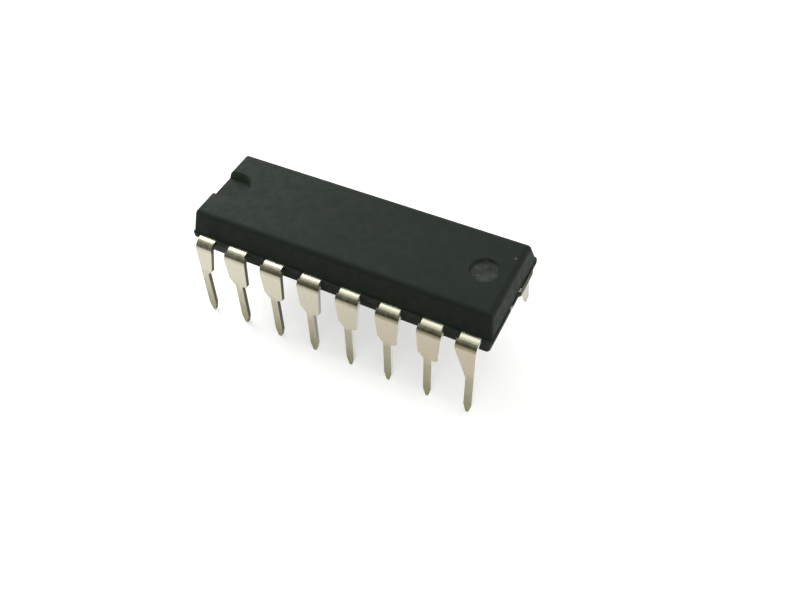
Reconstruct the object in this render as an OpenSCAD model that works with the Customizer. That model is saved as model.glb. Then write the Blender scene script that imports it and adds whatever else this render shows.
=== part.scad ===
// Dual in-line plastic package: a moulded body on a formed leadframe, with a wire-bonded chip.
// Millimetres. X runs along the body with the index notch at -X, Y across the two rows, Z up.
// The origin is midway between the rows at the level of the lead tips, so the part stands on z = 0.

/* [Rows] */
// Leads in each row
leads_per_row = 8; // [4:1:12]
// Distance between neighbouring leads of a row
lead_pitch = 2.54; // [2.3:0.01:2.8]
// Distance between the rows, measured where the leads come out of their bends
row_spacing = 7.62; // [7.4:0.01:8]

/* [Moulded body] */
// Body left beyond the centre line of each end lead
end_margin = 0.83; // [0.6:0.01:1.6]
// Body width at the parting line
body_w = 6.46; // [6.1:0.02:6.6]
// Height of the moulding above the leadframe's middle plane
top_h = 1.63; // [1.3:0.01:2]
// Depth of the moulding below the leadframe's middle plane
bottom_h = 1.57; // [1.2:0.01:1.7]
// Distance by which each long side has come in at the top face
top_side_inset = 0.54; // [0.2:0.02:0.7]
// Distance by which each end has come in at the top face
top_end_inset = 0.24; // [0.1:0.02:0.4]
// Distance by which each long side has come in at the bottom face
bottom_side_inset = 0.36; // [0.2:0.02:0.7]
// Distance by which each end has come in at the bottom face
bottom_end_inset = 0.3; // [0.1:0.02:0.4]
// Rounding of the body's upright corners
corner_r = 0.22; // [0.1:0.02:0.6]
// Rounding of the edges round the top and bottom faces
edge_r = 0.38; // [0.1:0.02:0.44]

/* [Marks left by the mould] */
// Width of the index notch
notch_w = 2; // [1.2:0.05:2.4]
// Length of the index notch, in from the end of the body
notch_l = 2.2; // [1.4:0.05:3]
// Depth of the index notch
notch_h = 0.5; // [0.2:0.02:0.8]
// Distance by which the notch's walls lean outwards over their height
notch_flare = 0.14; // [0.04:0.02:0.2]
// Rounding of the notch's upper edge
notch_edge_r = 0.1; // [0.04:0.01:0.16]
// Diameter of each round ejector mark
ejector_d = 1.68; // [1:0.02:2.2]
// Depth of each ejector mark
ejector_h = 0.15; // [0.04:0.01:0.3]
// Distance by which an ejector mark's wall leans outwards over its height
ejector_flare = 0.1; // [0.02:0.01:0.2]
// Distance from the end of the body to the centre of an ejector mark
ejector_inset = 1.84; // [1.5:0.01:3]
// How far the thin flash stands out of the parting line
flash_out = 0.04; // [0.02:0.01:0.08]
// How far the moulding between neighbouring leads stands out of the long sides
web_out = 0.1; // [0.08:0.01:0.22]
// Width of the broken-off gate on the end away from the notch
gate_w = 1.95; // [1:0.05:2.4]
// How far the gate stands out of the end
gate_out = 0.1; // [0.09:0.01:0.3]
// Distance of the gate from the middle of the end, towards the far row
gate_offset = 1.45; // [0:0.05:1.6]
// Depth of the gate below the leadframe's middle plane
gate_depth = 0.3; // [0.14:0.02:0.8]

/* [Leadframe sheet] */
// Thickness of the sheet
sheet_t = 0.25; // [0.2:0.01:0.3]
// Width of a lead where it leaves the body
exit_w = 1.22; // [0.8:0.01:1.4]
// Width of a lead's shoulder just below the bend
shoulder_w = 1.45; // [1.1:0.01:1.7]
// Width of the shoulder at its lower end
shoulder_low_w = 1.22; // [0.8:0.01:1.5]
// Width of the pin
pin_w = 0.49; // [0.4:0.01:0.56]
// Width of the pin's blunt tip
tip_w = 0.17; // [0.1:0.01:0.3]
// Inner radius of the bend
bend_r = 0.42; // [0.15:0.01:0.45]
// Part of the bend, in degrees, that the lead takes at its exit width
bend_narrow = 32; // [15:1:50]
// Angle by which the leads spread outwards from upright
splay = 6.9; // [0:0.1:10]

/* [Lead lengths] */
// Length of the shoulder from the bend to where it starts to narrow
shoulder_l = 1.4; // [1.2:0.01:2.2]
// Length over which the shoulder slopes in to the pin, on its side towards the notch
shoulder_taper_l = 0.42; // [0.3:0.01:0.8]
// Length of the steeper step in to the pin on the shoulder's other side
shoulder_step_l = 0.14; // [0.12:0.01:0.3]
// Length of the pin from the shoulder to its tip
pin_l = 3.18; // [2.8:0.01:4]
// Length over which the pin narrows to its tip
tip_taper_l = 0.62; // [0.2:0.01:1]
// Rounding of the shoulder's lower corners
shoulder_r = 0.1; // [0.02:0.01:0.2]
// Rounding of the pin's tip
tip_r = 0.06; // [0.01:0.01:0.08]

/* [End leads] */
// Reach of an end lead's exit towards its neighbour, from its pin's centre line
end_exit_in = 0.88; // [0.5:0.01:0.9]
// Reach of the lower shoulder of each row's first lead towards its neighbour
end_step_low_in = 0.57; // [0.4:0.01:0.7]
// Length over which the first lead's shoulder narrows to the pin
end_step_l = 0.3; // [0.12:0.01:0.4]
// Reach of the lower shoulder of each row's last lead towards its neighbour
end_flare_low_in = 0.49; // [0.4:0.01:0.7]
// Reach of the flared upper shoulder of each row's last lead towards its neighbour
end_flare_in = 1; // [0.8:0.01:1.1]
// Length over which the flared shoulder narrows to the pin
end_flare_taper_l = 0.72; // [0.5:0.01:1]

/* [Inside the body] */
// Length of a lead's locked root inside the body wall
root_l = 0.75; // [0.6:0.01:0.9]
// Radius of the bites in a root's edges that the moulding locks into
lock_r = 0.13; // [0.08:0.01:0.16]
// Width of an inner finger where it leaves the root
finger_root_w = 0.42; // [0.3:0.01:0.46]
// Width of an inner finger at its tip
finger_tip_w = 0.24; // [0.16:0.01:0.3]
// Length of the die pad
pad_l = 3.6; // [2.8:0.05:4.4]
// Width of the die pad
pad_w = 2.5; // [2.1:0.05:2.6]
// Depth of the die pad's downset below the fingers
pad_drop = 0.25; // [0:0.01:0.35]
// Length of each slope in the tie bars down to the pad
drop_run = 0.4; // [0.3:0.01:0.6]
// Gap between the die pad and the finger tips
pad_gap = 0.25; // [0.15:0.01:0.35]
// Width of the tie bars
tie_w = 0.26; // [0.16:0.01:0.3]
// Distance between the two tie bar ends that show on each end of the body
tie_spacing = 1.3; // [0.8:0.05:1.6]
// Distance from the end of the body to the fork in each tie bar
fork_inset = 2; // [1.6:0.05:2.6]

/* [Chip] */
// Length of the silicon die
die_l = 2.4; // [1.6:0.05:2.6]
// Width of the silicon die
die_w = 1.8; // [1:0.05:1.9]
// Thickness of the silicon die
die_h = 0.28; // [0.2:0.01:0.4]
// Thickness of the die attach
attach_h = 0.03; // [0.02:0.005:0.05]
// Margin of the die attach round the die
attach_margin = 0.1; // [0.02:0.01:0.14]
// Distance of the bond pads in from the die's edge
bond_inset = 0.12; // [0.08:0.01:0.2]
// Diameter of a bond wire
wire_d = 0.03; // [0.02:0.005:0.04]
// Diameter of the ball at a wire's first bond
ball_d = 0.09; // [0.07:0.01:0.12]
// Height of the ball
ball_h = 0.025; // [0.02:0.005:0.03]
// Height at which a wire starts to bend over, above the die
loop_h = 0.18; // [0.1:0.01:0.3]
// Radius of the bend at the top of a wire's loop
loop_r = 0.1; // [0.06:0.01:0.14]
// Distance of the second bond back from the finger's end
stitch_inset = 0.12; // [0.06:0.01:0.2]

/* [Hidden] */
$fn = 48;
LEADS = 2 * leads_per_row;

BLACK_EPOXY = [0.13, 0.14, 0.13];
TIN = [0.78, 0.76, 0.7];
COPPER_ALLOY = [0.72, 0.5, 0.32];
SILVER_EPOXY = [0.6, 0.6, 0.58];
SILICON = [0.33, 0.35, 0.42];
GOLD = [0.9, 0.72, 0.3];

ARC_STEPS = 6;
LIP_STEPS = 2;
LOOP_STEPS = 4;
WIRE_SIDES = 6;
body_l = (leads_per_row - 1) * lead_pitch + 2 * end_margin;

// Least rounding of the body's upright corners, where they run into its rounded edges
tight_r = 0.04;

// The bend's middle line, and the lead's height from its tip to the sheet's middle plane
bend_mid_r = bend_r + sheet_t / 2;
blade_l = shoulder_l + shoulder_taper_l + pin_l;
bend_start = row_spacing / 2 - bend_mid_r * cos(splay);
plane_z = bend_mid_r * (1 - sin(splay)) + blade_l * cos(splay) + sheet_t / 2 * sin(splay);

// Levels above the leadframe's middle plane
finger_top = sheet_t / 2;
pad_top = sheet_t / 2 - pad_drop;
attach_top = pad_top + attach_h;
die_top = attach_top + die_h;

// The squashed second bond, where a wire is stitched to its finger
stitch_d = 2.4 * wire_d;
stitch_h = 1.2 * wire_d;

// Reaches of a lead's edge from its centre line: at the exit, below the bend and at the
// shoulder's lower corner, then the heights above the tip of that corner and of the pin's start
seat = pin_l + shoulder_taper_l;
SLOPED_EDGE = [exit_w / 2, shoulder_w / 2, shoulder_low_w / 2, seat, pin_l];
SQUARE_EDGE = [exit_w / 2, shoulder_w / 2, shoulder_low_w / 2, pin_l + shoulder_step_l, pin_l];
OUTER_EDGE = [pin_w / 2, pin_w / 2, pin_w / 2, seat, pin_l];
STEPPED_EDGE = [end_exit_in, end_exit_in, end_step_low_in, pin_l + end_step_l, pin_l];
FLARED_EDGE = [end_exit_in, end_flare_in, end_flare_low_in, seat, seat - end_flare_taper_l];

// Edges on the -x and +x side of the lead at place i of a row, counted from the notch end
function lead_edges(i) =
    i == 0 ? [OUTER_EDGE, STEPPED_EDGE]
    : i == leads_per_row - 1 ? [FLARED_EDGE, OUTER_EDGE]
    : [SLOPED_EDGE, SQUARE_EDGE];
function lead_x(i) = (i - (leads_per_row - 1) / 2) * lead_pitch;

// Unit vector of an angle, and a polygon's corner replaced by an arc that touches both its sides
function unit(v) = v / norm(v);
function arc(centre, r, from, sweep) =
    [for (k = [0:ARC_STEPS])
        let (a = from + sweep * k / ARC_STEPS)
        centre + r * [cos(a), sin(a)]];
function turn(a, b) = atan2(a.x * b.y - a.y * b.x, a * b);
function rounded_corner(before, corner, after, r) =
    let (
        a = unit(corner - before),
        b = unit(after - corner),
        bend = turn(a, b),
        start = corner - a * r * abs(tan(bend / 2)),
        side = sign(bend) * [-a.y, a.x]
    )
    r == 0 || bend == 0 ? [corner] : arc(start + side * r, r, atan2(-side.y, -side.x), bend);
function rounded_polygon(corners, radii) =
    [for (i = [0:len(corners) - 1])
        each rounded_corner(
            corners[(i + len(corners) - 1) % len(corners)], corners[i],
            corners[(i + 1) % len(corners)], radii[i]
        )];

// Point on the rim of a rectangle of half sizes h, at share s of the way from the middle of its
// far side (s = 0) to the middle of its right side (s = 1), or as far to the left for s < 0
function rim_point(h, s) =
    let (run = abs(s) * (h.x + h.y))
    run <= h.x ? [sign(s) * run, h.y] : [sign(s) * h.x, h.x + h.y - run];
function fan_share(i) = (i - (leads_per_row - 1) / 2) / (leads_per_row / 2);

// Where the finger at place i starts, ends and takes its wire, for the row on the +y side
function root_shift(i) = (lead_edges(i)[1][0] - lead_edges(i)[0][0]) / 2;
function root_point(i) = [lead_x(i) + root_shift(i), body_w / 2 - root_l + finger_root_w / 2];
function finger_end(i) = rim_point([pad_l / 2 + pad_gap, pad_w / 2 + pad_gap], fan_share(i));
function finger_way(i) = unit(root_point(i) - finger_end(i));
function stitch_point(i) = finger_end(i) + finger_way(i) * stitch_inset;
function bond_point(i) = rim_point([die_l / 2 - bond_inset, die_w / 2 - bond_inset], fan_share(i));

// Inset at height z of a leaning, edge-rounded wall of the moulding that is h high and would
// have come in by full at its top
function wall_inset(z, h, full) =
    let (
        lean = atan(full / h),
        arc_z = h - edge_r,
        arc_inset = full * arc_z / h + edge_r / cos(lean)
    )
    z <= arc_z + edge_r * sin(lean) ? full * z / h
    : arc_inset - edge_r * cos(asin(min(1, (z - arc_z) / edge_r)));

// Outline of half sizes hx and hy with round corners
function round_rectangle(hx, hy, r) = concat(
    arc([hx - r, hy - r], r, 0, 90),
    arc([r - hx, hy - r], r, 90, 90),
    arc([r - hx, r - hy], r, 180, 90),
    arc([hx - r, r - hy], r, 270, 90)
);

// Solid through a stack of outlines that each run anticlockwise seen from the last one's side
module loft(rings) {
    n = len(rings[0]);
    last = len(rings) - 1;
    polyhedron(
        points = [for (ring = rings) each ring],
        faces = concat(
            [[for (i = [0:n - 1]) i]],
            [[for (i = [n - 1:-1:0]) last * n + i]],
            [for (k = [0:last - 1], i = [0:n - 1])
                let (next = (i + 1) % n)
                [k * n + i, (k + 1) * n + i, (k + 1) * n + next, k * n + next]]
        )
    );
}

// A half of the moulding, lofted from the parting line through its rounded edge to its flat face
module moulded_half(h, side_inset, end_inset) {
    low_lean = min(atan(side_inset / h), atan(end_inset / h));
    high_lean = max(atan(side_inset / h), atan(end_inset / h));
    edge_angles = [for (k = [0:ARC_STEPS]) high_lean + (90 - high_lean) * k / ARC_STEPS];
    angles = low_lean == high_lean ? edge_angles : concat([low_lean], edge_angles);
    heights = concat([0], [for (a = angles) h - edge_r + edge_r * sin(a)]);
    loft([for (z = heights)
        let (
            end_in = wall_inset(z, h, end_inset),
            side_in = wall_inset(z, h, side_inset),
            r = max(tight_r, corner_r + end_inset * z / h - end_in)
        )
        [for (p = round_rectangle(body_l / 2 - end_in, body_w / 2 - side_in, r))
            [p.x, p.y, z]]]);
}

// Room that a lead's exit leaves in the flash, where the mould closes on the lead itself
module exit_slot(i) {
    edges = lead_edges(i);
    translate([lead_x(i) - edges[0][0], body_w / 2 - root_l / 2])
        square([edges[0][0] + edges[1][0], root_l]);
}

// Moulding between neighbouring leads and the flash round the parting line, as thick as the sheet
module parting_line() {
    web_l = (leads_per_row - 1) * lead_pitch;
    translate([0, 0, -sheet_t / 2])
        linear_extrude(sheet_t)
            difference() {
                union() {
                    polygon(round_rectangle(
                        body_l / 2 + flash_out, body_w / 2 + flash_out, corner_r + flash_out
                    ));
                    square([web_l, body_w + 2 * web_out], center = true);
                }
                for (k = [1:LEADS])
                    at_lead(k)
                        exit_slot(place(k));
            }
}

// Stub of moulding left where the gate was broken off
module gate() {
    slope = gate_out;
    end_x = body_l / 2;
    translate([0, gate_offset, -gate_depth])
        linear_extrude(gate_depth + sheet_t / 2)
            polygon([
                [end_x - top_end_inset, -gate_w / 2],
                [end_x, -gate_w / 2],
                [end_x + gate_out, slope - gate_w / 2],
                [end_x + gate_out, gate_w / 2 - slope],
                [end_x, gate_w / 2],
                [end_x - top_end_inset, gate_w / 2]
            ]);
}

// Half section of the notch's cutter: the floor, the leaning wall, the rounded upper edge up to
// lip_turn degrees, and on from there clear of the top face
function notch_section() =
    let (
        lip_turn = 60,
        way = [sin(lip_turn), cos(lip_turn)],
        centre = [notch_w / 2 + notch_edge_r, notch_h - notch_edge_r],
        lip = [for (k = [0:LIP_STEPS])
            let (a = 180 - lip_turn * k / LIP_STEPS)
            centre + notch_edge_r * [cos(a), sin(a)]],
        out = lip[LIP_STEPS] + 2 * notch_edge_r * way
    )
    concat([[notch_w / 2 - notch_flare, 0]], lip, [out, [out.x, 2 * notch_h]]);

// U-shaped cutter of the index notch
module notch_cutter() {
    section = notch_section();
    last = len(section) - 1;
    translate([notch_l - notch_w / 2 - body_l / 2, 0, top_h - notch_h]) {
        rotate([0, 0, -90])
            rotate_extrude(angle = 180)
                polygon(concat([[0, 0]], section, [[0, section[last].y]]));
        rotate([90, 0, -90])
            linear_extrude(notch_l)
                polygon(concat(section, [for (k = [last:-1:0]) [-section[k].x, section[k].y]]));
    }
}

// Cutter of an ejector mark, which stands on the mark's floor and reaches its diameter at the face
module ejector_cutter() {
    cylinder(d1 = ejector_d - 2 * ejector_flare, d2 = ejector_d + 2 * ejector_flare, h = 2 * ejector_h);
}

// Round ejector marks: one beside the plain end of the top, one at each end of the underside
module ejector_cutters() {
    x = body_l / 2 - ejector_inset;
    translate([x, 0, top_h - ejector_h])
        ejector_cutter();
    for (side = [-1, 1])
        translate([side * x, 0, ejector_h - bottom_h])
            mirror([0, 0, 1])
                ejector_cutter();
}

module moulding() {
    difference() {
        union() {
            moulded_half(top_h, top_side_inset, top_end_inset);
            mirror([0, 0, 1])
                moulded_half(bottom_h, bottom_side_inset, bottom_end_inset);
            parting_line();
            gate();
        }
        notch_cutter();
        ejector_cutters();
    }
}

// Flat part of a lead: its locked root in the body wall, and the finger that fans in to the pad
module lead_plan(i) {
    edges = lead_edges(i);
    way = finger_way(i);
    across = [-way.y, way.x];
    lock_y = body_w / 2 - root_l / 2;
    flat_l = bend_start - body_w / 2 + root_l;
    difference() {
        translate([lead_x(i), bend_start])
            translate([-edges[0][0], -flat_l])
                square([edges[0][0] + edges[1][0], flat_l]);
        for (side = [0, 1])
            translate([lead_x(i) + (2 * side - 1) * edges[side][0], lock_y])
                circle(r = lock_r);
    }
    polygon([
        root_point(i) + across * finger_root_w / 2,
        root_point(i) - across * finger_root_w / 2,
        finger_end(i) - across * finger_tip_w / 2,
        finger_end(i) + across * finger_tip_w / 2
    ]);
}

// Stretch of the bend from angle a0 to angle a1, as wide as the given reaches to both sides
module bend_stretch(x, reaches, a0, a1) {
    translate([x, bend_start, -bend_mid_r])
        rotate([0, 90, 0])
            rotate([0, 0, 180 - a1])
                rotate_extrude(angle = a1 - a0)
                    translate([bend_r, -reaches[0]])
                        square([sheet_t, reaches[0] + reaches[1]]);
}

// Outline of the upright blade, with its tip at the origin and its length along y
function blade_outline(edges) =
    let (
        pin = pin_w / 2,
        tip = tip_w / 2
    )
    rounded_polygon(
        [
            [-tip, 0],
            [tip, 0],
            [pin, tip_taper_l],
            [pin, edges[1][4]],
            [edges[1][2], edges[1][3]],
            [edges[1][1], blade_l],
            [-edges[0][1], blade_l],
            [-edges[0][2], edges[0][3]],
            [-pin, edges[0][4]],
            [-pin, tip_taper_l]
        ],
        [tip_r, tip_r, 0, 0, shoulder_r, 0, 0, shoulder_r, 0, 0]
    );

// A lead of the row on the +y side, at place i from the notch end
module row_lead(i) {
    edges = lead_edges(i);
    bend_angle = 90 - splay;
    translate([0, 0, -sheet_t / 2])
        linear_extrude(sheet_t)
            lead_plan(i);
    bend_stretch(lead_x(i), [edges[0][0], edges[1][0]], 0, bend_narrow);
    bend_stretch(lead_x(i), [edges[0][1], edges[1][1]], bend_narrow, bend_angle);
    translate([lead_x(i), bend_start, -bend_mid_r])
        rotate([splay, 0, 0])
            translate([0, bend_r + sheet_t, -blade_l])
                rotate([90, 0, 0])
                    linear_extrude(sheet_t)
                        polygon(blade_outline(edges));
}

// Places a child made for the +y row at lead number k. Numbers run along the -y row from the
// notch end and come back along the +y row, so the two rows are half a turn of each other.
module at_lead(k) {
    if (k <= leads_per_row)
        mirror([0, 1, 0])
            children();
    else
        mirror([1, 0, 0])
            children();
}
function place(k) = (k - 1) % leads_per_row;

module lead(k) {
    color(TIN)
        at_lead(k)
            row_lead(place(k));
}

// Die pad with the tie bars that carry it: a plan outline cut out of a sheet bent down to the pad
module die_pad() {
    end_x = body_l / 2 + flash_out;
    fork_x = body_l / 2 - fork_inset;
    slope_x = pad_l / 2 + drop_run;
    leg_l = end_x - fork_x + tie_w;
    half_t = [0, sheet_t / 2];
    profile = [
        [-end_x, 0], [-slope_x, 0], [-pad_l / 2, -pad_drop],
        [pad_l / 2, -pad_drop], [slope_x, 0], [end_x, 0]
    ];
    color(COPPER_ALLOY)
        intersection() {
            translate([0, 0, -pad_drop - sheet_t])
                linear_extrude(pad_drop + 2 * sheet_t)
                    union() {
                        square([pad_l, pad_w], center = true);
                        square([2 * fork_x, tie_w], center = true);
                        for (end = [-1, 1]) {
                            translate([end * (fork_x - tie_w / 2), 0])
                                square([tie_w, tie_spacing + tie_w], center = true);
                            for (side = [-1, 1])
                                translate([end * (end_x - leg_l / 2), side * tie_spacing / 2])
                                    square([leg_l, tie_w], center = true);
                        }
                    }
            rotate([90, 0, 0])
                translate([0, 0, -pad_w])
                    linear_extrude(2 * pad_w)
                        polygon(concat(
                            [for (p = profile) p + half_t],
                            [for (k = [len(profile) - 1:-1:0]) profile[k] - half_t]
                        ));
        }
}

module die_attach() {
    color(SILVER_EPOXY)
        translate([0, 0, pad_top + attach_h / 2])
            cube([die_l + 2 * attach_margin, die_w + 2 * attach_margin, attach_h], center = true);
}

module die() {
    color(SILICON)
        translate([0, 0, attach_top + die_h / 2])
            cube([die_l, die_w, die_h], center = true);
}

// Bend and run of a wire over the given span, as stations of [distance out, height, direction]:
// up from the ball, over the loop and straight down to the middle of the stitch
function wire_stations(span) =
    let (
        land = finger_top - die_top + stitch_h / 2,
        reach = [span - loop_r, land - loop_h],
        fall = asin(loop_r / norm(reach)) - atan2(reach.y, reach.x)
    )
    concat(
        [[0, ball_h / 2, 90]],
        [for (k = [0:LOOP_STEPS])
            let (a = 90 - (90 + fall) * k / LOOP_STEPS)
            [loop_r - loop_r * sin(a), loop_h + loop_r * cos(a), a]],
        [[span, land, -fall]]
    );

// A bond wire in its own upright plane, with its ball at the origin
module wire_loop(span) {
    loft([for (s = wire_stations(span))
        [for (k = [0:WIRE_SIDES - 1])
            let (a = 360 * k / WIRE_SIDES, out = wire_d / 2 * cos(a))
            [s[0] + out * sin(s[2]), wire_d / 2 * sin(a), s[1] - out * cos(s[2])]]]);
    cylinder(d = ball_d, h = ball_h);
    translate([span, 0, finger_top - die_top])
        cylinder(d = stitch_d, h = stitch_h);
}

module bond_wire(k) {
    i = place(k);
    way = stitch_point(i) - bond_point(i);
    color(GOLD)
        at_lead(k)
            translate([bond_point(i).x, bond_point(i).y, die_top])
                rotate([0, 0, atan2(way.y, way.x)])
                    wire_loop(norm(way));
}

// The moulding, with room for everything that it was moulded round
module body() {
    color(BLACK_EPOXY)
        difference() {
            moulding();
            die_pad();
            die_attach();
            die();
            for (k = [1:LEADS]) {
                lead(k);
                bond_wire(k);
            }
        }
}

// The parts are drawn from the leadframe's middle plane and stood on their tips
translate([0, 0, plane_z]) {
    body();
    die_pad();
    die_attach();
    die();
    for (k = [1:LEADS]) {
        lead(k);
        bond_wire(k);
    }
}
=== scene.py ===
from functools import reduce
import math

import bpy
from mathutils import Matrix, Vector


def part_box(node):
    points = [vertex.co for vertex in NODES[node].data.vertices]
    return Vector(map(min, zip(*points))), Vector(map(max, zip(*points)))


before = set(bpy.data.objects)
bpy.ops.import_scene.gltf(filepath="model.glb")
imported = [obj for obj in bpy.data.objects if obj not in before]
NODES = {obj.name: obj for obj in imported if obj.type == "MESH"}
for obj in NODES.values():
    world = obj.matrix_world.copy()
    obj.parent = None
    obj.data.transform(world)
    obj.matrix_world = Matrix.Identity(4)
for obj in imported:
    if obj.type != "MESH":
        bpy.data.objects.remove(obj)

# Dresses the imported part in node materials, and sets its camera, floor and light. Its shapes stay as
# imported

# Blender's start-up objects, where the file has them
for name in ("Cube", "Light", "Camera"):
    if name in bpy.data.objects:
        bpy.data.objects.remove(bpy.data.objects[name])


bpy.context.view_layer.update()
MM = 0.001
LEADS = [name for name in NODES if name.startswith("lead_")]
WIRES = [name for name in NODES if name.startswith("bond_wire_")]

# Places on the part, in mm. X runs along the body with the notch at -X. The photographed row is at -Y
LEAD_T = 0.25
PLANE_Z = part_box("lead_2")[1].z / MM - LEAD_T / 2
TOP_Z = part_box("body")[1].z / MM
# The tie bars end level with the flash, which stands out from the ends of the body
FLASH_OUT = 0.04
TIE_END_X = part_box("die_pad")[1].x / MM
PLAIN_END_X = TIE_END_X - FLASH_OUT
NOTCH_END_X = -PLAIN_END_X


# Objects and directions

def add(name, data):
    """A new object with that data, in the scene."""
    made = bpy.data.objects.new(name, data)
    bpy.context.scene.collection.objects.link(made)
    return made


def towards(azimuth, elevation):
    """Direction from the part, as a unit vector. Azimuth 0 stands at -Y and a quarter turn at +X."""
    return Vector((
        math.sin(azimuth) * math.cos(elevation),
        -math.cos(azimuth) * math.cos(elevation),
        math.sin(elevation),
    ))


# Camera, fitted to the photograph

PHOTO_W_PX = 800
FOCAL_PX = 774.623
SENSOR_W = 36
CAMERA_AT = Vector((18.12, -25.08, 33.14 + PLANE_Z)) * MM
CAMERA_AZIMUTH = math.radians(32.118)
CAMERA_ELEVATION = math.radians(51.304)
CAMERA_ROLL = math.radians(-6.002)
CLIP_NEAR = 0.002
CLIP_FAR = 10


def make_camera():
    """The photograph's camera, which needs no lens shift."""
    back = towards(CAMERA_AZIMUTH, CAMERA_ELEVATION)
    level = Vector((math.cos(CAMERA_AZIMUTH), math.sin(CAMERA_AZIMUTH), 0))
    upright = back.cross(level)
    right = level * math.cos(CAMERA_ROLL) + upright * math.sin(CAMERA_ROLL)
    up = upright * math.cos(CAMERA_ROLL) - level * math.sin(CAMERA_ROLL)
    data = bpy.data.cameras.new("camera")
    data.sensor_width = SENSOR_W
    data.lens = FOCAL_PX * SENSOR_W / PHOTO_W_PX
    data.clip_start = CLIP_NEAR
    data.clip_end = CLIP_FAR
    camera = add("camera", data)
    turn = Matrix((right, up, back)).transposed().to_4x4()
    camera.matrix_world = Matrix.Translation(CAMERA_AT) @ turn
    bpy.context.scene.camera = camera


# Node graphs

# The Mix node has sockets for each data type. These are the places of its colour ones
MIX_UNDER = 6
MIX_OVER = 7
MIX_RESULT = 2
# Most of a noise lies in this span, which is stretched to the whole range
NOISE_SPAN = (0.3, 0.7)


class Graph:
    """The node tree of a material or world, with short calls for the nodes used here."""

    def __init__(self, owner):
        self.owner = owner
        owner.use_nodes = True
        self.tree = owner.node_tree
        self.tree.nodes.clear()

    def node(self, kind, inputs=None, **settings):
        """A new node with its settings. Its inputs are linked or set, by name or by number."""
        made = self.tree.nodes.new(kind)
        for key, value in settings.items():
            setattr(made, key, value)
        for key, value in (inputs or {}).items():
            self.set(made.inputs[key], value)
        return made

    def set(self, socket, value):
        """Link an input to an output, or give it a value. A colour is opaque."""
        if isinstance(value, bpy.types.NodeSocket):
            self.tree.links.new(value, socket)
        elif socket.type == "RGBA":
            socket.default_value = (*value, 1)
        else:
            socket.default_value = value

    def output(self, shader, kind="ShaderNodeOutputMaterial"):
        """Put the shader on the surface, and give back the material or world."""
        self.node(kind, {"Surface": shader.outputs[0]})
        return self.owner

    def calculate(self, operation, *values):
        """One operation on one or two numbers."""
        made = self.node("ShaderNodeMath", dict(enumerate(values)), operation=operation)
        return made.outputs["Value"]

    def times(self, *values):
        """The product of the values."""
        return reduce(lambda a, b: self.calculate("MULTIPLY", a, b), values)

    def plus(self, *values):
        """The sum of the values."""
        return reduce(lambda a, b: self.calculate("ADD", a, b), values)

    def most(self, *values):
        """The largest of the values."""
        return reduce(lambda a, b: self.calculate("MAXIMUM", a, b), values)

    def size(self, value):
        """The value without its sign."""
        return self.calculate("ABSOLUTE", value)

    def split(self, vector):
        """The X, Y and Z of a vector."""
        made = self.node("ShaderNodeSeparateXYZ", {"Vector": vector})
        return made.outputs["X"], made.outputs["Y"], made.outputs["Z"]

    def step(self, value, span, low=0.0, high=1.0):
        """Low below the span of values and high above it, with a smooth change in between."""
        inputs = {"Value": value, "From Min": span[0], "From Max": span[1], "To Min": low, "To Max": high}
        made = self.node("ShaderNodeMapRange", inputs, interpolation_type="SMOOTHSTEP")
        return made.outputs["Result"]

    def fall(self, value, span):
        """1 below the span of values and 0 above it, with a smooth change in between."""
        return self.step(value, span, 1.0, 0.0)

    def band(self, value, span, soft):
        """1 in the span of values, falling to 0 over soft on either side."""
        low, high = span
        return self.times(self.step(value, (low - soft, low)), self.fall(value, (high, high + soft)))


class PartGraph(Graph):
    """A material of the part. Its place, in mm, and its normal are those of the CAD frame."""

    def __init__(self, name):
        super().__init__(bpy.data.materials.new(name))
        here = self.node("ShaderNodeTexCoord").outputs
        self.place = self.stretch(here["Object"], (1 / MM, 1 / MM, 1 / MM))
        self.x, self.y, self.z = self.split(self.place)
        self.nx, self.ny, self.nz = self.split(here["Normal"])

    def stretch(self, vector, factors):
        """The vector, multiplied along each axis."""
        made = self.node("ShaderNodeVectorMath", {0: vector, 1: factors}, operation="MULTIPLY")
        return made.outputs["Vector"]

    def distance(self, spot):
        """Distance in mm from the upright line through a spot."""
        flat = self.node("ShaderNodeCombineXYZ", {"X": self.x, "Y": self.y}).outputs["Vector"]
        made = self.node("ShaderNodeVectorMath", {0: flat, 1: (*spot, 0.0)}, operation="DISTANCE")
        return made.outputs["Value"]

    def noise(self, scale, detail=3.0, roughness=0.55, low=0.0, high=1.0, place=None):
        """Noise of about scale grains to a millimetre, from low to high."""
        place = self.place if place is None else place
        inputs = {"Vector": place, "Scale": scale, "Detail": detail, "Roughness": roughness}
        made = self.node("ShaderNodeTexNoise", inputs)
        return self.step(made.outputs["Fac"], NOISE_SPAN, low, high)

    def spread(self, value, low, high):
        """A value from 0 to 1, spread evenly from low to high."""
        return self.plus(low, self.times(value, high - low))

    def mix(self, under, over, *masks, strength=1.0):
        """The colour under, covered by the colour over as far as masks and strength multiply to."""
        inputs = {0: self.times(*masks, strength), MIX_UNDER: under, MIX_OVER: over}
        made = self.node("ShaderNodeMix", inputs, data_type="RGBA", clamp_factor=True)
        return made.outputs[MIX_RESULT]

    def bump(self, height, depth, strength):
        """The normal of a surface that is depth mm higher where the height is 1 than where it is 0."""
        inputs = {"Height": height, "Distance": depth * MM, "Strength": strength}
        return self.node("ShaderNodeBump", inputs).outputs["Normal"]

    def surface(self, **inputs):
        """Dress the material in a principled shader, and give it back."""
        inputs = {key.replace("_", " "): value for key, value in inputs.items()}
        return self.output(self.node("ShaderNodeBsdfPrincipled", inputs))


def give(material, *names):
    """Dress those nodes in one material."""
    for name in names:
        mesh = NODES[name].data
        mesh.materials.clear()
        mesh.materials.append(material)


# Black moulding compound

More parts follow.
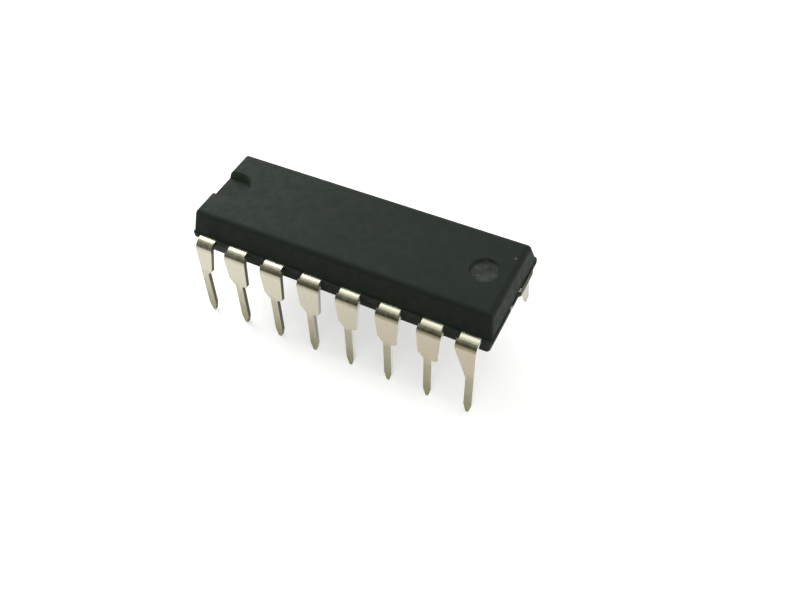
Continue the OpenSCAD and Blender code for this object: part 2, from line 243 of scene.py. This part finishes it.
EPOXY = (0.0052, 0.0105, 0.0047)
EPOXY_PALE = (0.0105, 0.0171, 0.0093)
EPOXY_LIT_GREEN = (0.0115, 0.0205, 0.0125)
EPOXY_SHADED_SIDE = (0.0012, 0.0042, 0.0008)
EPOXY_NOTCH = (0.019, 0.032, 0.019)
EPOXY_SPECULAR = 0.18
EPOXY_ROUGH = (0.58, 0.70)
MARK_ROUGHER = -0.06
GLANCING_ROUGHER = 0.4
MOTTLE_HEIGHT = 0.4
GRAIN_HEIGHT = 0.6
GATE_HEIGHT = 3.0
FLASH_LIT_TOP = (0.028, 0.034, 0.026)
GATE = (0.05, 0.056, 0.05)
GATE_LIP_HIGHLIGHT = (0.40, 0.38, 0.26)
BLOTCH = (0.068, 0.072, 0.062)
DUST = (0.2, 0.2, 0.18)

# Spots in mm, and spans over which its look changes
LIT_GREEN_X = (-8.0, 1.0)
WALL_Y = (2.5, 2.9)
WALL_CLEAN_X = (-7.6, -5.0)
NOTCH_X = (NOTCH_END_X + 1.72, NOTCH_END_X + 1.92)
NOTCH_Y = (1.2, 1.4)
NOTCH_Z = (TOP_Z - 0.95, TOP_Z - 0.85)
FLASH_Z = (PLANE_Z - 0.14, PLANE_Z + 0.14)
FLASH_SOFT = 0.02
GATE_X = (TIE_END_X + 0.02, TIE_END_X + 0.05)
EJECTOR_AT = (PLAIN_END_X - 1.84, 0.0)
EJECTOR_EDGE = (0.77, 0.85)
EJECTOR_Z = (TOP_Z - 0.2, TOP_Z - 0.15)
SPECK_AT = (PLAIN_END_X - 0.64, 1.40)
SPECK_EDGE = (0.04, 0.09)
SPECK_Z = (TOP_Z - 0.3, TOP_Z - 0.2)

# Spans of the normal's part along an axis, from a surface that barely faces that way to one that does
FACING_UP = (0.3, 0.8)
FACING_SIDEWAYS = (0.5, 0.9)
LIP_FACING_UP = (0.4, 0.7)

# Span of the layer weight, which is 0 for a surface seen square on and 1 for one seen edge on
GLANCING = (0.6, 0.8)


def epoxy_masks(g):
    """Where the moulding is a drafted long side, the gate or the ejector mark."""
    far_off = g.step(g.size(g.y), WALL_Y)
    sideways = g.step(g.size(g.ny), FACING_SIDEWAYS)
    wall = g.times(far_off, sideways)
    gate = g.step(g.x, GATE_X)
    mark = g.times(g.fall(g.distance(EJECTOR_AT), EJECTOR_EDGE), g.step(g.z, EJECTOR_Z))
    return wall, gate, mark


def epoxy_colour(g, mottle, wall, gate, mark):
    """Mottled black, with the colours that its places have, and painted light and shade on some of them."""
    cloud = g.noise(scale=0.35, detail=2.0, roughness=0.5)
    fine = g.noise(scale=26.0, detail=1.0, roughness=0.5)
    colour = g.mix(EPOXY, EPOXY_PALE, mottle, strength=0.5)
    colour = g.mix(colour, EPOXY_PALE, cloud, strength=0.35)
    colour = g.mix(colour, EPOXY_PALE, fine, strength=0.25)
    # Painted light: lighter and greener towards the notch, in patches
    patches = g.noise(scale=0.5, detail=2.0, roughness=0.5, low=0.4)
    colour = g.mix(colour, EPOXY_LIT_GREEN, g.fall(g.x, LIT_GREEN_X), patches, strength=0.8)
    # The long sides get painted shade, darker than the top, and the notch's walls are paler
    colour = g.mix(colour, EPOXY_SHADED_SIDE, wall, strength=0.75)
    notch = g.times(g.fall(g.x, NOTCH_X), g.fall(g.size(g.y), NOTCH_Y), g.step(g.z, NOTCH_Z))
    colour = g.mix(colour, EPOXY_NOTCH, notch, g.fall(g.nz, FACING_UP))
    # Thin flash at the parting line, with painted light where it faces up
    flash = g.times(g.band(g.z, FLASH_Z, FLASH_SOFT), g.step(g.nz, FACING_UP))
    uneven = g.noise(scale=1.4, detail=2.0, roughness=0.5, low=0.3)
    colour = g.mix(colour, FLASH_LIT_TOP, flash, uneven)
    # The gate is broken off, and its upper lip gets a painted highlight
    broken = g.noise(scale=7.0, detail=4.0, roughness=0.7, low=0.2)
    colour = g.mix(colour, GATE, gate, broken)
    colour = g.mix(colour, GATE_LIP_HIGHLIGHT, gate, g.step(g.nz, LIP_FACING_UP), strength=0.8)
    # Pale blotches in the ejector mark, and one speck of dust near it
    blotches = g.noise(scale=1.7, detail=4.0, roughness=0.65)
    colour = g.mix(colour, BLOTCH, mark, blotches, strength=0.55)
    speck = g.times(g.fall(g.distance(SPECK_AT), SPECK_EDGE), g.step(g.z, SPECK_Z))
    return g.mix(colour, DUST, speck, strength=0.5)


def epoxy():
    """Black moulding compound with a fine spark-eroded grain."""
    g = PartGraph("black_epoxy")
    mottle = g.noise(scale=2.2, roughness=0.6)
    grain = g.noise(scale=18.0, detail=2.0, roughness=0.6)
    wall, gate, mark = epoxy_masks(g)
    # The ejector mark is smoother. At a glancing angle the long sides are duller, but not by the notch
    glancing = g.step(g.node("ShaderNodeLayerWeight", {"Blend": 0.5}).outputs["Facing"], GLANCING)
    duller = g.times(wall, g.step(g.x, WALL_CLEAN_X), glancing, GLANCING_ROUGHER)
    rough = g.plus(g.spread(mottle, *EPOXY_ROUGH), g.times(mark, MARK_ROUGHER), duller)
    # The gate's broken surface stands well above the grain
    broken = g.noise(scale=9.0, detail=4.0, roughness=0.7)
    height = g.plus(g.times(grain, GRAIN_HEIGHT), g.times(mottle, MOTTLE_HEIGHT))
    height = g.plus(height, g.times(gate, broken, GATE_HEIGHT))
    return g.surface(
        Base_Color=epoxy_colour(g, mottle, wall, gate, mark),
        Roughness=rough,
        Normal=g.bump(height, depth=0.004, strength=0.4),
        Specular_IOR_Level=EPOXY_SPECULAR,
    )


# Tin-plated leadframe

TIN = (0.97, 0.95, 0.73)
TIN_SHADED = (0.68, 0.67, 0.47)
TIN_SHADED_BLADE = (0.420, 0.370, 0.290)
TIN_SHADED_BLADE_PALE = (0.520, 0.500, 0.400)
TIN_INNER = (0.64, 0.62, 0.55)
TIN_DARK_REFLECTION = (0.22, 0.20, 0.115)
TIN_OLIVE = (0.25, 0.24, 0.146)
SHEARED_SHADED = (0.13, 0.11, 0.07)
SHEARED_LIT = (0.93, 0.91, 0.86)
TIN_ROUGH = (0.22, 0.28)
TARNISH_ROUGHER = 0.12
SHEARED_ROUGHER = 0.2
STREAK_HEIGHT = 0.7
TARNISH_HEIGHT = 0.4

# Spans over which its look changes, in mm
BRIGHT_X = (-9.5, -3.0)
SHADED_BLADE_X = (-11.0, 11.0)
DARK_REFLECTION_X = (-9.0, 9.0)
SHEARED_X = (-2.6, 1.3)
SHADED_BLADE_Z = (PLANE_Z - 0.13, PLANE_Z + 0.02)
DARK_REFLECTION_Z = (PLANE_Z - 0.30, PLANE_Z - 0.20)
DARK_REFLECTION_SOFT = 0.16
PIN_ROOT_Z = (2.6, 3.6)
PIN_TIP_Z = (0.2, 2.4)

# How far the edges of the painted shade and the tarnished plating wander up and down, in mm
SHADED_BLADE_WANDER = 0.05
TARNISH_WANDER = 0.5

# How far the tarnish has gone at the pin's root, and how much further at its tip
TARNISH_ROOT = 0.5
TARNISH_TIP = 0.45

# Spans of the normal times the place along Y, which is below 0 on a blade's inner face
INNER_FACE = (-2.0, 0.0)
OUTER_FACE = (-0.5, 0.5)

# Span of the normal's part along X, from a face to a sheared side
SHEARED_FACING = (0.6, 0.9)


def plating_colour(g, uneven, outward):
    """Painted as lit at the exits, with a painted dark reflection over the outside of the bends and painted
    shade down the blades.
    """
    bright = g.mix(TIN_SHADED, TIN, g.step(g.x, BRIGHT_X))
    # Painted shade: down the blades the plating takes a darker tone than at the exits
    shaded_blade = g.mix(TIN_SHADED_BLADE_PALE, TIN_SHADED_BLADE, g.step(g.x, SHADED_BLADE_X))
    shaded_blade = g.mix(shaded_blade, TIN_INNER, g.fall(outward, INNER_FACE))
    height = g.plus(g.z, g.times(uneven, SHADED_BLADE_WANDER))
    colour = g.mix(bright, shaded_blade, g.fall(height, SHADED_BLADE_Z))
    # Painted reflection: a dark band over the outside of the bends
    dark_reflection = g.band(height, DARK_REFLECTION_Z, DARK_REFLECTION_SOFT)
    return g.mix(colour, TIN_DARK_REFLECTION, dark_reflection, g.step(g.x, DARK_REFLECTION_X, low=0.15))


def tinned():
    """Tin plating that tarnishes down the pins, on leads with sheared sides."""
    g = PartGraph("tinned_lead")
    fine = g.noise(scale=9.0, roughness=0.65)
    streak = g.noise(scale=3.0, place=g.stretch(g.place, (1.0, 0.25, 0.12)))
    uneven = g.plus(g.noise(scale=1.1, roughness=0.6), -0.5)
    outward = g.times(g.ny, g.y)
    colour = plating_colour(g, uneven, outward)
    # The tarnish is olive and speckled, and mostly on the outer faces
    height = g.plus(g.z, g.times(uneven, TARNISH_WANDER))
    root = g.times(g.fall(height, PIN_ROOT_Z), TARNISH_ROOT)
    tip = g.times(g.fall(height, PIN_TIP_Z), TARNISH_TIP)
    tarnish = g.times(g.plus(root, tip), g.step(outward, OUTER_FACE, low=0.3))
    colour = g.mix(colour, TIN_OLIVE, tarnish, g.spread(fine, 0.8, 1.2))
    # The sheared sides are dark with painted shade in the half by the notch and pale with painted light in
    # the other
    side = g.step(g.size(g.nx), SHEARED_FACING)
    sheared = g.mix(SHEARED_SHADED, SHEARED_LIT, g.step(g.x, SHEARED_X), g.spread(fine, 0.88, 1.0))
    colour = g.mix(colour, sheared, side)
    rough = g.plus(g.spread(streak, *TIN_ROUGH), g.times(tarnish, TARNISH_ROUGHER))
    rough = g.plus(rough, g.times(side, SHEARED_ROUGHER))
    relief = g.plus(g.times(streak, STREAK_HEIGHT), g.times(fine, tarnish, TARNISH_HEIGHT))
    return g.surface(
        Base_Color=colour,
        Metallic=1.0,
        Roughness=rough,
        Normal=g.bump(relief, depth=0.0012, strength=0.3),
    )


# Materials of the inner pieces

ALLOY = (0.58, 0.42, 0.28)
ALLOY_PALE = (0.68, 0.5, 0.34)
CUT_DULL = (0.36, 0.35, 0.31)
CUT_BRIGHT = (0.96, 0.95, 0.92)
CUT_X = (TIE_END_X - 0.4, TIE_END_X - 0.3)
CUT_Y = (-0.5, 0.5)
ATTACH = (0.4, 0.39, 0.37)
ATTACH_FLAKE = (0.66, 0.65, 0.62)
SILICON = (0.2, 0.23, 0.3)
SILICON_PALE = (0.42, 0.4, 0.34)
CIRCUIT = (0.5, 0.42, 0.3)
GOLD = (0.85, 0.62, 0.2)
GOLD_PALE = (0.95, 0.74, 0.32)


def cut_alloy():
    """Bare leadframe alloy. The tie bars' cut ends are bright at +Y and duller at -Y."""
    g = PartGraph("cut_alloy")
    colour = g.mix(ALLOY, ALLOY_PALE, g.noise(scale=3.0, roughness=0.6))
    cut = g.mix(CUT_DULL, CUT_BRIGHT, g.step(g.y, CUT_Y))
    return g.surface(
        Base_Color=g.mix(colour, cut, g.step(g.size(g.x), CUT_X)),
        Metallic=1.0,
        Roughness=g.noise(scale=14.0, roughness=0.6, low=0.3, high=0.5),
        Normal=g.bump(g.noise(scale=20.0, detail=2.0), depth=0.004, strength=0.5),
    )


def silver_epoxy():
    """Silver-filled die attach: grey with flakes."""
    g = PartGraph("silver_epoxy")
    flake = g.noise(scale=30.0, detail=1.0, roughness=0.5)
    return g.surface(
        Base_Color=g.mix(ATTACH, ATTACH_FLAKE, flake),
        Metallic=0.6,
        Roughness=g.spread(flake, 0.4, 0.6),
        Normal=g.bump(flake, depth=0.005, strength=0.5),
    )


def silicon():
    """Polished silicon, with the fine blocks and lines of a finished circuit."""
    g = PartGraph("silicon_die")
    cells = g.node("ShaderNodeTexVoronoi", {"Vector": g.place, "Scale": 7.0}, distance="CHEBYCHEV")
    tint = g.split(cells.outputs["Color"])[0]
    lines = g.noise(scale=12.0, detail=1.0, place=g.stretch(g.place, (6.0, 1.0, 1.0)))
    colour = g.mix(SILICON, SILICON_PALE, tint)
    return g.surface(
        Base_Color=g.mix(colour, CIRCUIT, lines, strength=0.3),
        Metallic=0.85,
        Roughness=g.spread(tint, 0.12, 0.27),
    )


def gold():
    """Drawn gold wire."""
    g = PartGraph("gold_wire")
    draw = g.noise(scale=40.0, detail=2.0)
    return g.surface(
        Base_Color=g.mix(GOLD, GOLD_PALE, draw),
        Metallic=1.0,
        Roughness=g.spread(draw, 0.15, 0.27),
    )


# Stage, in metres: floor, card, lamp and world

WHITE = (1, 1, 1)
FLOOR_HALF = 0.6
PAPER = (0.8, 0.8, 0.79)
FLOOR_GLOW = 0.45

CARD_R = 0.34
CARD_LEFT = -0.36
CARD_RIGHT = 0.03
CARD_START = math.radians(2)
CARD_TURN = math.radians(116)
CARD_STEPS = 48
CARD_COLOUR = (1.0, 0.97, 0.74)
CARD_LEVEL = 0.085
CARD_SLANT = 0.45
CARD_SLANT_X = -0.13
CARD_FADE = (-0.64 * CARD_R, 0.27 * CARD_R)
CARD_FADE_LEFT = (CARD_LEFT, CARD_LEFT + 0.1)
CARD_FADE_RIGHT = (CARD_RIGHT - 0.06, CARD_RIGHT)

LAMP_AZIMUTH = math.radians(244)
LAMP_ELEVATION = math.radians(38)
LAMP_AIM = Vector((0, 0, 4 * MM))
LAMP_AWAY = 0.50
LAMP_W = 0.36
LAMP_H = 0.30
LAMP_POWER = 1.7


def floor_material():
    """Pale paper that glows where it is seen or mirrored, so that it reads as white. Clear from below."""
    g = Graph(bpy.data.materials.new("floor"))
    ray = g.node("ShaderNodeLightPath").outputs
    seen = g.most(ray["Is Camera Ray"], ray["Is Glossy Ray"], ray["Is Transmission Ray"])
    paper = g.node("ShaderNodeBsdfDiffuse", {"Color": PAPER})
    glow = g.node("ShaderNodeEmission", {"Color": WHITE, "Strength": g.times(seen, FLOOR_GLOW)})
    front = g.node("ShaderNodeAddShader", {0: paper.outputs[0], 1: glow.outputs[0]})
    back = g.node("ShaderNodeBsdfTransparent")
    below = g.node("ShaderNodeNewGeometry").outputs["Backfacing"]
    return g.output(g.node("ShaderNodeMixShader", {0: below, 1: front.outputs[0], 2: back.outputs[0]}))


def make_floor():
    """A square floor at z = 0."""
    half = FLOOR_HALF
    points = [(-half, -half, 0), (half, -half, 0), (half, half, 0), (-half, half, 0)]
    mesh = bpy.data.meshes.new("floor")
    mesh.from_pydata(points, [], [(0, 1, 2, 3)])
    mesh.materials.append(floor_material())
    add("floor", mesh)


def card_material():
    """A dim glow that fades out overhead, along a slant, and at both ends."""
    g = Graph(bpy.data.materials.new("card"))
    x, y, z = g.split(g.node("ShaderNodeTexCoord").outputs["Object"])
    slant = g.plus(y, g.times(CARD_SLANT, g.plus(x, -CARD_SLANT_X)))
    fade = g.most(g.step(slant, CARD_FADE), g.step(x, CARD_FADE_RIGHT), g.fall(x, CARD_FADE_LEFT))
    dim = g.node("ShaderNodeEmission", {"Color": CARD_COLOUR, "Strength": CARD_LEVEL})
    clear = g.node("ShaderNodeBsdfTransparent")
    return g.output(g.node("ShaderNodeMixShader", {0: fade, 1: dim.outputs[0], 2: clear.outputs[0]}))


def make_card():
    """An unseen card that arches over the front of the part. Bright metal mirrors it in its bends."""
    angles = [CARD_START + CARD_TURN * k / CARD_STEPS for k in range(CARD_STEPS + 1)]
    points = []
    for angle in angles:
        for x in (CARD_LEFT, CARD_RIGHT):
            points.append((x, -CARD_R * math.cos(angle), CARD_R * math.sin(angle)))
    faces = [(2 * k, 2 * k + 1, 2 * k + 3, 2 * k + 2) for k in range(CARD_STEPS)]
    mesh = bpy.data.meshes.new("card")
    mesh.from_pydata(points, [], faces)
    mesh.materials.append(card_material())
    card = add("card", mesh)
    card.visible_camera = False


def make_lamp():
    """One softbox, beyond the notch end and behind the part, which it faces."""
    way = towards(LAMP_AZIMUTH, LAMP_ELEVATION)
    data = bpy.data.lights.new("window", "AREA")
    data.shape = "RECTANGLE"
    data.size = LAMP_W
    data.size_y = LAMP_H
    data.energy = LAMP_POWER
    lamp = add("window", data)
    lamp.rotation_mode = "QUATERNION"
    lamp.location = LAMP_AIM + way * LAMP_AWAY
    lamp.rotation_quaternion = (-way).to_track_quat("-Z", "Y")


def make_world():
    """An even white room."""
    world = bpy.data.worlds.new("world")
    bpy.context.scene.world = world
    g = Graph(world)
    g.output(g.node("ShaderNodeBackground", {"Color": WHITE, "Strength": 1.0}), "ShaderNodeOutputWorld")


give(epoxy(), "body")
give(tinned(), *LEADS)
give(cut_alloy(), "die_pad")
give(silver_epoxy(), "die_attach")
give(silicon(), "die")
give(gold(), *WIRES)

make_camera()
make_floor()
make_card()
make_lamp()
make_world()
bpy.context.scene.view_settings.view_transform = "Standard"
